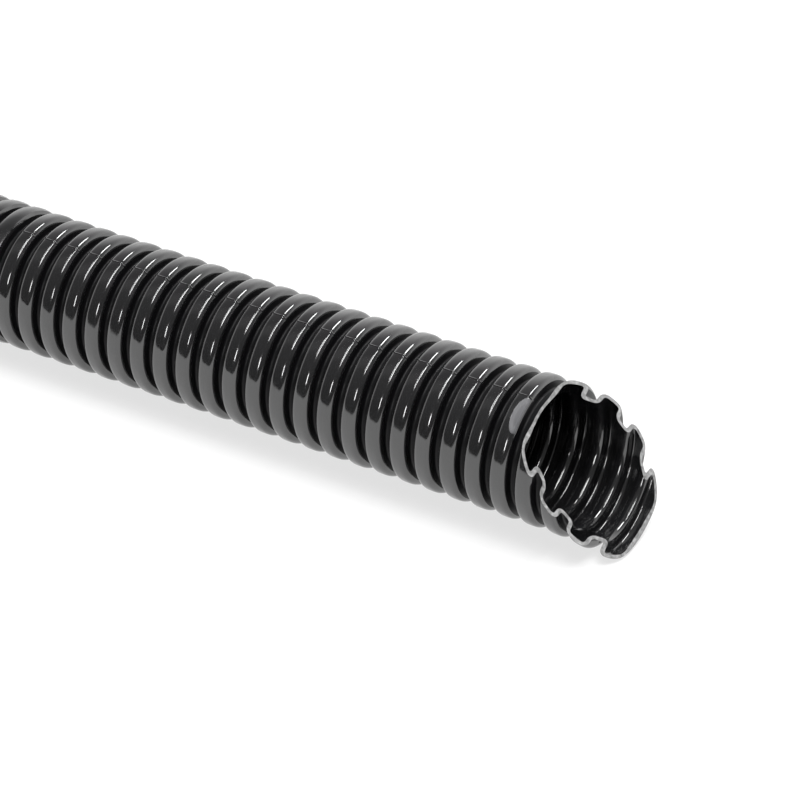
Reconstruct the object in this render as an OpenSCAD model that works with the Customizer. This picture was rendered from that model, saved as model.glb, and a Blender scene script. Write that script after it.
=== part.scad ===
// Corrugated conduit: one length of thin-walled plastic wiring conduit with ring corrugations.
// One end is cut square and the other is snipped off at a slant.
// The conduit lies on its side along X, its slanted end towards +X, on the plane Z = 0.
// Sizes are in millimetres.

/* [Conduit] */
// Length from the square end to the tip of the slanted end
length = 1000; // [60:1:1200]
// Outside diameter over the crests
outer_d = 21.2; // [16:0.1:34]
// Wall thickness, the same all along the wave
wall = 0.45; // [0.3:0.05:0.7]

/* [Corrugation] */
// Width of a crest between its flanks, at the outside diameter
crest_w = 2.6; // [2:0.1:5]
// Width of a groove between its flanks, at the outside diameter
groove_w = 1.4; // [1.1:0.1:3]
// Depth of a groove below the crests
groove_depth = 1.65; // [1.4:0.05:3]
// Lean of each flank from square to the axis, in degrees
flank_lean = 5; // [0:1:8]
// Radius on the hollow side of every bend in the wall
bend_r = 0.2; // [0.05:0.05:0.25]
// Turn of the mould's parting line about the axis, away from the highest line, in degrees
parting_turn = 20; // [-90:1:90]

/* [Slanted end] */
// Slant of the cut from square, in degrees
slant = 39; // [1:1:50]
// Turn of the tip about the axis, away from the lowest line, in degrees
tip_turn = 18; // [-180:1:180]
// Distance from the middle of the last crest to the tip, which lies on the crest
tip_past_crest = 1.2; // [0:0.05:1.25]
// Number of waves that the slant may cut; it ends square in the groove behind them
cut_waves = 4; // [1:1:8]

/* [Hidden] */
$fn = 96;
pitch = crest_w + groove_w;
crest_radius = outer_d / 2;
// Angle that the wall turns through at each bend, and the share of a radius it takes up
bend_turn = 90 - flank_lean;
bend_share = tan(bend_turn / 2);
// Chords that stand for the arc of one bend
bend_steps = 2;
// Radius on the bulging side of a bend: the crest's edges outside, the ridge's edges inside
bulge_r = bend_r + wall;
// Centres of the two bends on one side of a crest, as [distance from its middle, radius]
crest_bend = [crest_w / 2 - bulge_r * bend_share, crest_radius - bulge_r];
root_bend = [
    crest_w / 2 + groove_depth * tan(flank_lean) + bend_r * bend_share,
    crest_radius - groove_depth + bend_r
];
// Middle of the last crest, and the waves behind it that reach past the square end
last_crest = length - tip_past_crest;
waves = ceil(last_crest / pitch) + 1;
// Radius of the wall's outer skin at the tip, which may lie on the crest's rounded edge
tip_over_edge = max(tip_past_crest - crest_bend.x, 0);
tip_radius = crest_bend.y + sqrt(bulge_r ^ 2 - tip_over_edge ^ 2);
// Where the slanted plane crosses the axis, and the square heel of the cut
slant_x = length - tip_radius * tan(slant);
heel_x = last_crest - (cut_waves - 0.5) * pitch;

// Points of an arc about a centre, turned from one angle to another
function arc(centre, radius, from, to) = [
    for (i = [0 : bend_steps])
        let (angle = from + (to - from) * i / bend_steps)
            centre + radius * [cos(angle), sin(angle)]
];

// The other side of a crest, seen in its middle plane
function mirrored(points) = [
    for (i = [len(points) - 1 : -1 : 0]) [-points[i].x, points[i].y]
];

// Rising side of one crest, at a depth below the wall's outer skin
function rise(depth) = concat(
    arc([-root_bend.x, root_bend.y], bend_r + depth, -90, -flank_lean),
    arc([-crest_bend.x, crest_bend.y], bulge_r - depth, 180 - flank_lean, 90)
);

// One skin of the whole wall, crest after crest, from beyond the square end to past the tip
function skin(depth) =
    let (side = rise(depth), wave = concat(side, mirrored(side)))
        [for (n = [-waves : 1]) for (p = wave) [last_crest + n * pitch + p.x, p.y]];

// Section of the wall, with the radius across and the axis up
module wall_section() {
    outside = skin(0);
    inside = skin(wall);
    polygon(concat(
        [for (p = outside) [p.y, p.x]],
        [for (i = [len(inside) - 1 : -1 : 0]) [inside[i].y, inside[i].x]]
    ));
}

// Everything beyond a plane through the origin that leans by an angle from square to X
module beyond(lean) {
    reach = outer_d * 2;
    rotate([0, -lean, 0])
        translate([0, -reach, -reach])
            cube([(cut_waves + 4) * pitch + reach, reach * 2, reach * 2]);
}

module square_end() {
    mirror([1, 0, 0])
        beyond(0);
}

module slanted_end() {
    intersection() {
        rotate([tip_turn, 0, 0])
            translate([slant_x, 0, 0])
                beyond(slant);
        translate([heel_x, 0, 0])
            beyond(0);
    }
}

module conduit() {
    color([0.11, 0.11, 0.12])
        translate([-length / 2, 0, crest_radius])
            difference() {
                rotate([parting_turn, 0, 0])
                    rotate([0, 90, 0])
                        mirror([1, 0, 0])
                            rotate_extrude()
                                wall_section();
                square_end();
                slanted_end();
            }
}

conduit();
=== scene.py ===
"""Corrugated conduit: a length of glossy black wiring conduit, its near end snipped off at a slant."""

import math

import bmesh
import bpy
from mathutils import Matrix, Vector, noise

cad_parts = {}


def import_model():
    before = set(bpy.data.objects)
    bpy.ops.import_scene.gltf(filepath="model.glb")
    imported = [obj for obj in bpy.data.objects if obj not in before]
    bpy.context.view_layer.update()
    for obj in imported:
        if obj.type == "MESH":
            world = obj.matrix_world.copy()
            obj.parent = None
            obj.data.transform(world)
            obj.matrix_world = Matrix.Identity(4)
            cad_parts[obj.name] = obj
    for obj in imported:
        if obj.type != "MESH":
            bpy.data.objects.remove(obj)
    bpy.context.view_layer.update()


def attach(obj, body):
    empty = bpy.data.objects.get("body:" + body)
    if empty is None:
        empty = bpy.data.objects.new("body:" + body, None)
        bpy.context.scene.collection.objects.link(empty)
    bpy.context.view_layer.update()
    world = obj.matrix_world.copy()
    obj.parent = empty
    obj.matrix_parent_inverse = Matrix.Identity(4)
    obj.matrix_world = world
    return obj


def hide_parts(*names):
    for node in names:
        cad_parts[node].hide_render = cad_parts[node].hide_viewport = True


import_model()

MM = 0.001

# The conduit's sizes in millimetres, as part.scad has them
LENGTH = 1000.0
RADIUS = 10.6
WALL = 0.45
CREST_W = 2.6
GROOVE_W = 1.4
GROOVE_DEPTH = 1.65
FLANK_LEAN = math.radians(5)
SLANT = math.radians(39)
TIP_TURN = math.radians(18)
TIP_PAST_CREST = 1.2
CUT_WAVES = 4
# Rounder than the CAD model's 0.2, as the photograph shows the bends
BEND_R = 0.35

PITCH = CREST_W + GROOVE_W
TIP_X = LENGTH / 2
LAST_CREST = TIP_X - TIP_PAST_CREST
HEEL_X = LAST_CREST - (CUT_WAVES - 0.5) * PITCH
BULGE_R = BEND_R + WALL
BEND_TURN = math.pi / 2 - FLANK_LEAN
BEND_SHARE = math.tan(BEND_TURN / 2)
CREST_BEND = (CREST_W / 2 - BULGE_R * BEND_SHARE, RADIUS - BULGE_R)
ROOT_BEND = (
    CREST_W / 2 + GROOVE_DEPTH * math.tan(FLANK_LEAN) + BEND_R * BEND_SHARE,
    RADIUS - GROOVE_DEPTH + BEND_R,
)
# The tip lies on the rounded edge of its crest
TIP_RADIUS = CREST_BEND[1] + math.sqrt(BULGE_R**2 - max(TIP_PAST_CREST - CREST_BEND[0], 0) ** 2)
SLANT_X = TIP_X - TIP_RADIUS * math.tan(SLANT)
# Angles round the axis are counted from straight up towards the near side, -Y
TIP_ANGLE = math.pi + TIP_TURN

# What the mould left on the wall, in millimetres: crowned crests and a skin that isn't quite even
CROWN = 0.12
SKIN_WANDER = 0.03
WANDER_LENGTH = 5.0
WANDER_PLACE = Vector((17.3, 5.1, 0))
# The two parting lines: a thin ridge with a nib near the crest's edge, and a slight step beside it
PARTING_TURN = math.radians(15)
SEAMS = (PARTING_TURN, PARTING_TURN + math.pi)
SEAM_HALF_WIDTH = 0.12
SEAM_RISE = 0.06
NIB_RISE = 0.1
NIB_X = 0.75
NIB_REACH = 0.35
STEP_DEPTH = 0.03
STEP_LENGTH = 2.0
# Mesh columns beside each parting line
SEAM_COLUMNS = (-0.2, -0.12, -0.06, 0.06, 0.12, 0.2)

# The lens-shaped flat that a blade shaved off the last whole crest: its middle, depth and half sizes
SHAVE_X = LAST_CREST - CUT_WAVES * PITCH + 0.95
SHAVE_ANGLE = math.radians(32)
SHAVE_DEPTH = 0.24
SHAVE_ALONG = 1.05
SHAVE_AROUND = 2.8

# The real snip leaves slightly more of the tip than one plane does, and its face wavers
SNIP_PROUD = 0.8
SNIP_WAVER = 0.35
SNIP_WAVER_LENGTH = 2.6
SNIP_WAVER_PLACE = 7.0
SNIP_STEPS = 48
SNIP_SPAN = 30.0
# The last crests bend towards the near side, as far as the CAD model's box allows
LEAN_START = 488.5
LEAN_REACH = 2.2

# Waves in the cut end, in the stretch next to it, and the number of coarser stretches after those
CUT_END_WAVES = 7
NEAR_WAVES = 19
LENGTH_PIECES = 3
# Material slots of every piece, before the grooves get theirs
PLASTIC_SLOT = 0
CUT_SLOT = 1
# Painted shade in the grooves: their darker, less reflective skin starts this share of its depth below the
# crests
GROOVE_SHADE_FROM = 0.45
HARD_EDGE = math.radians(35)

# The camera's place and axes, from the fit of the conduit's outlines and crests
CAMERA_AT = Vector((0.6560, -0.3292, 0.2723))
CAMERA_RIGHT = Vector((0.8608, 0.5089, 0.0))
CAMERA_UP = Vector((-0.2872, 0.4858, 0.8255))
CAMERA_LENS = 146.2


# ---------------------------------------------------------------- shape of the wall

def arc(centre, radius, start, end, steps):
    """Points of an arc in the plane of X and radius."""
    angles = [start + (end - start) * i / steps for i in range(steps + 1)]
    return [(centre[0] + radius * math.cos(a), centre[1] + radius * math.sin(a)) for a in angles]


def wave(depth, steps, land):
    """One crest from groove to groove, about its own middle, at a depth below the outer skin."""
    rise = arc((-ROOT_BEND[0], ROOT_BEND[1]), BEND_R + depth, -math.pi / 2, -FLANK_LEAN, steps)
    rise += arc((-CREST_BEND[0], CREST_BEND[1]), BULGE_R - depth, math.pi - FLANK_LEAN, math.pi / 2, steps)
    top = [(-CREST_BEND[0] * (1 - 2 * i / land), RADIUS - depth) for i in range(1, land)]
    return rise + top + [(-x, r) for x, r in reversed(rise)]


def skin(first, last, depth, steps, land):
    """One skin of the wall over several crests counted back from the last, from groove middle to middle."""
    root = RADIUS - GROOVE_DEPTH - depth
    points = [(LAST_CREST - (first + 0.5) * PITCH, root)]
    for n in range(first, last - 1, -1):
        points += [(LAST_CREST - n * PITCH + x, r) for x, r in wave(depth, steps, land)]
    return points + [(LAST_CREST - (last - 0.5) * PITCH, root)]


def square_end(points):
    """The skin without what lies beyond the square end, which falls on a crest's rounded edge."""
    end = -LENGTH / 2
    first = next(i for i, p in enumerate(points) if p[0] > end)
    (x0, r0), (x1, r1) = points[first - 1], points[first]
    return [(end, r0 + (r1 - r0) * (end - x0) / (x1 - x0))] + points[first:]


def direction(angle):
    """Unit vector across the axis, at an angle from straight up towards the near side."""
    return Vector((0, -math.sin(angle), math.cos(angle)))


def from_crest(x):
    """How far X is past the middle of the nearest crest."""
    return x - LAST_CREST + round((LAST_CREST - x) / PITCH) * PITCH


def turn_from(turn, other):
    """How far one angle is past another, from -pi to pi."""
    return (turn - other + math.pi) % (2 * math.pi) - math.pi


def wander(x, turn):
    """Smooth noise over the conduit's skin, from -1 to 1."""
    side, up = RADIUS * math.sin(turn), RADIUS * math.cos(turn)
    point = Vector((x / WANDER_LENGTH, side / WANDER_LENGTH, up / WANDER_LENGTH))
    return noise.noise(point + WANDER_PLACE)


def moulded(x, r, turn, outer):
    """A point of the skin with the mould's parting ridges and the slight unevenness of a formed wall."""
    from_middle = from_crest(x)
    on_crest = outer and r > RADIUS - GROOVE_DEPTH / 2
    r -= CROWN * min(abs(from_middle) / (CREST_W / 2), 1) ** 2
    r -= SKIN_WANDER * (0.5 + 0.5 * wander(x, turn))
    if on_crest:
        for seam in SEAMS:
            past = turn_from(turn, seam) * RADIUS
            if abs(past) < SEAM_HALF_WIDTH:
                nib = NIB_RISE * max(0, 1 - abs(from_middle - NIB_X) / NIB_REACH)
                r += (SEAM_RISE + nib) * (1 - abs(past) / SEAM_HALF_WIDTH)
            if 0 < past < STEP_LENGTH:
                r -= STEP_DEPTH * (1 - past / STEP_LENGTH)
    return x, r


def shaved(x, r, turn, outer):
    """The same, with the flat that a blade has taken off the last whole crest."""
    x, r = moulded(x, r, turn, outer)
    along = (x - SHAVE_X) / SHAVE_ALONG
    around = turn_from(turn, SHAVE_ANGLE) * RADIUS / SHAVE_AROUND
    share = 1 - along**2 - around**2
    if outer and share > 0:
        r = min(r, RADIUS - SHAVE_DEPTH * min(2 * share, 1))
    return x, r


# ---------------------------------------------------------------- meshes

def solid(name, verts, faces):
    """A closed mesh as an object in the scene, its faces turned outwards."""
    mesh = bpy.data.meshes.new(name)
    mesh.from_pydata(verts, [], faces)
    bm = bmesh.new()
    bm.from_mesh(mesh)
    bmesh.ops.recalc_face_normals(bm, faces=bm.faces)
    bm.to_mesh(mesh)
    bm.free()
    piece = bpy.data.objects.new(name, mesh)
    bpy.context.scene.collection.objects.link(piece)
    return piece


def revolve(name, outside, inside, segments, change=None):
    """A closed ring of wall between two skins, turned about the conduit's axis.

    Where a change moves the points, the mesh gets more columns beside the parting lines.
    """
    loop = outside + inside[::-1]
    turns = [PARTING_TURN + 2 * math.pi * s / segments for s in range(segments)]
    if change:
        turns += [seam + away / RADIUS for seam in SEAMS for away in SEAM_COLUMNS]
    turns.sort()
    verts = []
    for turn in turns:
        for i, (x, r) in enumerate(loop):
            if change:
                x, r = change(x, r, turn, i < len(outside))
            across = direction(turn) * r
            verts.append((x * MM, across.y * MM, (across.z + RADIUS) * MM))
    count = len(loop)
    faces = []
    for s in range(len(turns)):
        here, beside = s * count, (s + 1) % len(turns) * count
        for i in range(count):
            j = (i + 1) % count
            faces.append((here + i, here + j, beside + j, beside + i))
    return solid(name, verts, faces)


def cutter():
    """Everything that the snip took off: beyond the slanted plane and beyond the square heel."""
    slope = math.tan(SLANT)
    slant_x = SLANT_X + SNIP_PROUD
    heel_u, tip_u = ((x - slant_x) / slope for x in (HEEL_X, TIP_X))
    outline = [(HEEL_X, -SNIP_SPAN)]
    for i in range(SNIP_STEPS + 1):
        share = i / SNIP_STEPS
        u = heel_u + (tip_u - heel_u) * share
        waver = noise.noise(Vector((u / SNIP_WAVER_LENGTH, SNIP_WAVER_PLACE, 0)))
        outline.append((slant_x + u * slope - SNIP_WAVER * waver * math.sin(math.pi * share), u))
    beyond = TIP_X + 2 * SNIP_SPAN
    outline += [(TIP_X, SNIP_SPAN), (beyond, SNIP_SPAN), (beyond, -SNIP_SPAN)]
    u, v = direction(TIP_ANGLE), direction(TIP_ANGLE + math.pi / 2)
    verts = []
    for side in (-SNIP_SPAN, SNIP_SPAN):
        verts += [(Vector((x, 0, RADIUS)) + u * along + v * side) * MM for x, along in outline]
    n = len(outline)
    faces = [tuple(range(n)), tuple(range(2 * n - 1, n - 1, -1))]
    faces += [(i, i + n, (i + 1) % n + n, (i + 1) % n) for i in range(n)]
    return solid("cutter", verts, faces)


def snip(piece, cut):
    """Cuts the piece with the snip, whose faces take the cut material."""
    piece.data.materials.append(cut)
    blade = cutter()
    for material in piece.data.materials:
        blade.data.materials.append(material)
    for face in blade.data.polygons:
        face.material_index = CUT_SLOT
    step = piece.modifiers.new("snip", "BOOLEAN")
    step.operation = "DIFFERENCE"
    step.solver = "EXACT"
    step.object = blade
    deps = bpy.context.evaluated_depsgraph_get()
    mesh = bpy.data.meshes.new_from_object(piece.evaluated_get(deps))
    piece.modifiers.clear()
    piece.data = mesh
    bpy.data.objects.remove(blade)


def lean(piece):
    """Bends the last crests towards the near side."""
    for vert in piece.data.vertices:
        past = (vert.co.x / MM - LEAN_START) / (TIP_X - LEAN_START)
        if past > 0:
            vert.co.y -= LEAN_REACH * MM * past**2


def paint_groove_shade(piece, groove_shade):
    """Paints shade into the grooves: their deep faces take the darker, less reflective material."""
    mesh = piece.data
    mesh.materials.append(groove_shade)
    for face in mesh.polygons:
        x, y, z = (c / MM for c in face.center)
        from_middle = from_crest(x)
        outward = face.normal.y * y + face.normal.z * (z - RADIUS) > 0
        flank = abs(face.normal.x) > 0.8 and face.normal.x * from_middle > 0
        below = math.hypot(y, z - RADIUS) < RADIUS - GROOVE_SHADE_FROM * GROOVE_DEPTH
        in_groove = below and abs(from_middle) > CREST_W / 2 - 0.1
        # Deep faces in a groove get the painted shade
        if face.material_index == PLASTIC_SLOT and in_groove and (outward or flank):
            face.material_index = len(mesh.materials) - 1


def smooth(piece):
    """Smooth shading, with a hard edge at each sharp turn and each change of material."""
    mesh = piece.data
    bm = bmesh.new()
    bm.from_mesh(mesh)
    for face in bm.faces:
        face.smooth = True
    for edge in bm.edges:
        if len(edge.link_faces) == 2:
            one, other = edge.link_faces
            same = one.material_index == other.material_index
            edge.smooth = same and edge.calc_face_angle(0) < HARD_EDGE
    bm.to_mesh(mesh)
    bm.free()


# ---------------------------------------------------------------- materials

def new_material(name):
    """A new material, its node tree and its shader."""
    material = bpy.data.materials.new(name)
    material.use_nodes = True
    tree = material.node_tree
    return material, tree, tree.nodes["Principled BSDF"]


def add(tree, kind, **values):
    """A node with its sockets or properties set by name."""
    node = tree.nodes.new(kind)
    for key, value in values.items():
        if hasattr(node, key):
            setattr(node, key, value)
        else:
            node.inputs[key].default_value = value
    return node


def ramp(tree, stops):
    """A grey ramp through stops of place and level."""
    node = tree.nodes.new("ShaderNodeValToRGB")
    while len(node.color_ramp.elements) < len(stops):
        node.color_ramp.elements.new(0.5)
    for element, (at, value) in zip(node.color_ramp.elements, stops):
        element.position = at
        element.color = (value, value, value, 1)
    return node


def math_node(tree, operation, first, second=None):
    """A Math node on one or two inputs, each a socket or a number."""
    node = add(tree, "ShaderNodeMath", operation=operation)
    for socket, value in zip(node.inputs, (first, second)):
        if isinstance(value, bpy.types.NodeSocket):
            tree.links.new(value, socket)
        elif value is not None:
            socket.default_value = value
    return node.outputs[0]


def map_range(tree, value, low, high, to_low, to_high):
    """The value moved from one range to another, and kept inside it."""
    node = add(tree, "ShaderNodeMapRange")
    tree.links.new(value, node.inputs["Value"])
    for name, number in (("From Min", low), ("From Max", high), ("To Min", to_low), ("To Max", to_high)):
        node.inputs[name].default_value = number
    return node.outputs["Result"]


def length_node(tree, *sides):
    """The length of the diagonal over two sides at right angles."""
    squares = [math_node(tree, "MULTIPLY", side, side) for side in sides]
    return math_node(tree, "SQRT", math_node(tree, "ADD", *squares))


def shave_mask(tree, where):
    """1 on the shaved flat, 0 elsewhere."""
    split = tree.nodes.new("ShaderNodeSeparateXYZ")
    tree.links.new(where, split.inputs["Vector"])
    side = math_node(tree, "MULTIPLY", split.outputs["Y"], -1.0)
    up = math_node(tree, "SUBTRACT", split.outputs["Z"], RADIUS * MM)
    turn = math_node(tree, "SUBTRACT", math_node(tree, "ARCTAN2", side, up), SHAVE_ANGLE)
    around = math_node(tree, "MULTIPLY", turn, RADIUS / SHAVE_AROUND)
    from_middle = math_node(tree, "SUBTRACT", split.outputs["X"], SHAVE_X * MM)
    along = math_node(tree, "DIVIDE", from_middle, SHAVE_ALONG * MM)
    inside = map_range(tree, length_node(tree, along, around), 0.98, 1.08, 1.0, 0.0)
    radius = length_node(tree, side, up)
    outer = map_range(tree, radius, (RADIUS - 0.5) * MM, (RADIUS - 0.45) * MM, 0.0, 1.0)
    return math_node(tree, "MULTIPLY", inside, outer)


def black_plastic():
    """Glossy black polyamide with the mould's faint rings in it, greyed where a blade shaved it."""
    material, tree, shader = new_material("black_polyamide")
    link = tree.links.new
    where = tree.nodes.new("ShaderNodeTexCoord").outputs["Object"]
    rings = add(tree, "ShaderNodeMapping")
    rings.inputs["Scale"].default_value = (3000, 60, 60)
    link(where, rings.inputs["Vector"])
    streaks = add(tree, "ShaderNodeTexNoise", Scale=1.0, Detail=2.0, Roughness=0.5)
    link(rings.outputs["Vector"], streaks.inputs["Vector"])
    blotches = add(tree, "ShaderNodeTexNoise", Scale=420.0, Detail=2.0, Roughness=0.5)
    link(where, blotches.inputs["Vector"])
    gloss = map_range(tree, blotches.outputs["Fac"], 0.3, 0.75, 0.07, 0.16)
    shave = shave_mask(tree, where)
    rough = tree.nodes.new("ShaderNodeMix")
    link(shave, rough.inputs["Factor"])
    link(gloss, rough.inputs["A"])
    rough.inputs["B"].default_value = 0.62
    link(rough.outputs["Result"], shader.inputs["Roughness"])
    colour = add(tree, "ShaderNodeMix", data_type="RGBA")
    link(shave, colour.inputs["Factor"])
    colour.inputs["A"].default_value = (0.006, 0.006, 0.0065, 1)
    colour.inputs["B"].default_value = (0.06, 0.06, 0.065, 1)
    link(colour.outputs["Result"], shader.inputs["Base Color"])
    ring_bump = add(tree, "ShaderNodeBump", Strength=0.35, Distance=0.02 * MM)
    link(streaks.outputs["Fac"], ring_bump.inputs["Height"])
    wave_bump = add(tree, "ShaderNodeBump", Strength=0.06, Distance=0.2 * MM)
    link(blotches.outputs["Fac"], wave_bump.inputs["Height"])
    link(ring_bump.outputs["Normal"], wave_bump.inputs["Normal"])
    link(wave_bump.outputs["Normal"], shader.inputs["Normal"])
    shader.inputs["IOR"].default_value = 1.6
    shader.inputs["Specular IOR Level"].default_value = 1.0
    return material


def groove_shade_plastic():
    """Painted shade for the grooves: a darker black that reflects far less than the crests."""
    material, tree, shader = new_material("groove_painted_shade")
    link = tree.links.new
    where = tree.nodes.new("ShaderNodeTexCoord")
    grain = add(tree, "ShaderNodeTexNoise", Scale=900.0, Detail=3.0)
    link(where.outputs["Object"], grain.inputs["Vector"])
    bump = add(tree, "ShaderNodeBump", Strength=0.3, Distance=0.03 * MM)
    link(grain.outputs["Fac"], bump.inputs["Height"])
    link(bump.outputs["Normal"], shader.inputs["Normal"])
    # Painted shade: a darker base colour and a weak reflection stand in for the grooves' shadow
    shader.inputs["Base Color"].default_value = (0.004, 0.004, 0.0045, 1)
    shader.inputs["Roughness"].default_value = 0.35
    shader.inputs["Specular IOR Level"].default_value = 0.2
    return material


def cut_plastic_and_sheen():
    """The snipped edge: its grey is partly the blade's whitening and partly a painted sheen of light off the
    cut face.
    """
    material, tree, shader = new_material("cut_whitening_and_sheen")
    link = tree.links.new
    where = tree.nodes.new("ShaderNodeTexCoord")
    grain = add(tree, "ShaderNodeTexNoise", Scale=1500.0, Detail=4.0, Roughness=0.6)
    link(where.outputs["Object"], grain.inputs["Vector"])
    # Painted sheen in part: these grey tones also stand for light glancing off the cut face
    tone = ramp(tree, [(0.3, 0.1), (0.5, 0.2), (0.75, 0.36)])
    link(grain.outputs["Fac"], tone.inputs["Fac"])
    link(tone.outputs["Color"], shader.inputs["Base Color"])
    bump = add(tree, "ShaderNodeBump", Strength=0.4, Distance=0.05 * MM)
    link(grain.outputs["Fac"], bump.inputs["Height"])
    link(bump.outputs["Normal"], shader.inputs["Normal"])
    shader.inputs["Roughness"].default_value = 0.5
    return material


# ---------------------------------------------------------------- conduit

def stretch(name, far_wave, near_wave, segments, steps, land, change=None):
    """A stretch of conduit over crests counted back from the last one, with mesh steps for its two skins."""
    outside = skin(far_wave, near_wave, 0, steps[0], land)
    inside = skin(far_wave, near_wave, WALL, steps[1], max(2, land // 2))
    if LAST_CREST - (far_wave + 0.5) * PITCH < -LENGTH / 2:
        outside, inside = square_end(outside), square_end(inside)
    return revolve(name, outside, inside, segments, change)


def conduit():
    """The whole conduit, with a finer mesh near the camera."""
    plastic, cut, groove_shade = black_plastic(), cut_plastic_and_sheen(), groove_shade_plastic()
    near_end = CUT_END_WAVES + NEAR_WAVES
    end = stretch("conduit_cut_end", CUT_END_WAVES - 1, -1, 256, (5, 4), 5, shaved)
    pieces = [end, stretch("conduit_near", near_end - 1, CUT_END_WAVES, 140, (4, 1), 4, moulded)]
    all_waves = math.ceil(LENGTH / PITCH) + 1
    size = math.ceil((all_waves - near_end) / LENGTH_PIECES)
    for i in range(LENGTH_PIECES):
        first = near_end + i * size
        last = min(first + size, all_waves) - 1
        pieces.append(stretch("conduit_length_%d" % (i + 1), last, first, 56, (2, 1), 2))
    for piece in pieces:
        piece.data.materials.append(plastic)
    snip(end, cut)
    lean(end)
    for piece in pieces:
        paint_groove_shade(piece, groove_shade)
        smooth(piece)
        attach(piece, "root")
        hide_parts("conduit")


# ---------------------------------------------------------------- room

def plane(name, centre, size, turn=(0, 0, 0)):
    """A card of the studio, turned by degrees about X, Y and Z."""
    bpy.ops.mesh.primitive_plane_add(size=1, location=centre, rotation=[math.radians(t) for t in turn])
    card = bpy.context.object
    card.name = name
    card.scale = (size[0], size[1], 1)
    return card


def floor():
    """Plain white floor that keeps the shadow."""
    ground = plane("floor", (0, 0, -0.0001), (60, 60))
    material, tree, shader = new_material("white_floor")
    link = tree.links.new
    shader.inputs["Base Color"].default_value = (0.8, 0.8, 0.8, 1)
    shader.inputs["Roughness"].default_value = 0.9
    shader.inputs["Specular IOR Level"].default_value = 0.0
    white = add(tree, "ShaderNodeEmission", Strength=1.0)
    rays = tree.nodes.new("ShaderNodeLightPath")
    straight = math_node(tree, "MULTIPLY", rays.outputs["Is Camera Ray"], 0.7)
    through = math_node(tree, "MULTIPLY", rays.outputs["Is Transmission Ray"], 0.7)
    glossy = math_node(tree, "MULTIPLY", rays.outputs["Is Glossy Ray"], 0.8)
    share = math_node(tree, "MAXIMUM", straight, math_node(tree, "MAXIMUM", through, glossy))
    mix = tree.nodes.new("ShaderNodeMixShader")
    link(share, mix.inputs["Fac"])
    link(shader.outputs["BSDF"], mix.inputs[1])
    link(white.outputs["Emission"], mix.inputs[2])
    link(mix.outputs["Shader"], tree.nodes["Material Output"].inputs["Surface"])
    ground.data.materials.append(material)


def table_rim():
    """The dark near rim of the table top, which only the reflections show."""
    rim = plane("table_rim", (0, -0.28, 0.009), (4, 0.02), (90, 0, 0))
    dark, tree, shader = new_material("dark_rim")
    shader.inputs["Base Color"].default_value = (0.06, 0.06, 0.06, 1)
    shader.inputs["Roughness"].default_value = 0.8
    rim.data.materials.append(dark)
    rim.visible_camera = False
    rim.visible_shadow = False


def lamp(name, at, target, size, power):
    """A rectangular lamp that the camera doesn't see, aimed at a target."""
    light = bpy.data.lights.new(name, "AREA")
    light.shape = "RECTANGLE"
    light.size, light.size_y = size
    light.energy = power
    obj = bpy.data.objects.new(name, light)
    obj.location = at
    obj.rotation_euler = (Vector(target) - obj.location).to_track_quat("-Z", "Y").to_euler()
    obj.visible_camera = False
    bpy.context.scene.collection.objects.link(obj)
    return obj


def lights():
    """A large fill that reflections don't show, a far box, two strips overhead and a near box."""
    fill = lamp("fill", (0.3, 0.15, 2.6), (0.3, 0, 0), (2.6, 1.5), 88)
    fill.visible_glossy = False
    lamp("far_box", (0.7, 1.15, 1.6), (0.7, 1.15, 0), (0.32, 0.9), 15)
    lamp("strip", (1.05, -0.19, 1.6), (1.05, -0.19, 0), (0.17, 1.3), 12)
    lamp("faint_strip", (0.66, -0.25, 1.6), (0.66, -0.25, 0), (0.09, 0.9), 3.5)
    lamp("near_box", (0.55, -1.81, 0.93), (0.45, 0, 0), (0.28, 0.56), 8)


def world():
    """The studio about the conduit: bright behind it, a dim ceiling, and dark on the near side."""
    scene = bpy.context.scene
    scene.world = bpy.data.worlds.new("studio")
    scene.world.use_nodes = True
    tree = scene.world.node_tree
    link = tree.links.new
    split = tree.nodes.new("ShaderNodeSeparateXYZ")
    link(tree.nodes.new("ShaderNodeTexCoord").outputs["Generated"], split.inputs["Vector"])
    side = math_node(tree, "MULTIPLY", split.outputs["Y"], -1.0)
    angle = math_node(tree, "ARCTAN2", side, split.outputs["Z"])
    across = map_range(tree, angle, -math.pi / 2, math.pi / 2, 0.0, 1.0)
    # Brightness by degrees from straight up, below zero on the far side
    levels = [
        (-90, 1.0), (-72, 0.9), (-55, 0.62), (-41, 0.3), (-28, 0.22), (-16, 0.15), (-6, 0.14),
        (4, 0.21), (15, 0.21), (24, 0.13), (55, 0.11), (75, 0.09), (90, 0.09),
    ]
    tone = ramp(tree, [((degrees + 90) / 180, level) for degrees, level in levels])
    link(across, tone.inputs["Fac"])
    # The wall that the conduit runs towards is plain white
    wall = map_range(tree, split.outputs["X"], -0.84, -0.97, 0.0, 1.0)
    mix = add(tree, "ShaderNodeMix", data_type="RGBA")
    link(wall, mix.inputs["Factor"])
    link(tone.outputs["Color"], mix.inputs["A"])
    mix.inputs["B"].default_value = (0.74, 0.74, 0.74, 1)
    back = tree.nodes["Background"]
    back.inputs["Strength"].default_value = 1.35
    link(mix.outputs["Result"], back.inputs["Color"])


def camera():
    """Camera at the photo's viewing angle, with its long lens."""
    lens = bpy.data.cameras.new("camera")
    lens.sensor_width = 36
    lens.lens = CAMERA_LENS
    lens.clip_start = 0.01
    view = bpy.data.objects.new("camera", lens)
    turn = Matrix((CAMERA_RIGHT, CAMERA_UP, CAMERA_RIGHT.cross(CAMERA_UP))).transposed()
    view.matrix_world = Matrix.Translation(CAMERA_AT) @ turn.to_4x4()
    bpy.context.scene.collection.objects.link(view)
    bpy.context.scene.camera = view


camera()
conduit()
floor()
table_rim()
lights()
world()
bpy.context.scene.view_settings.view_transform = "Standard"
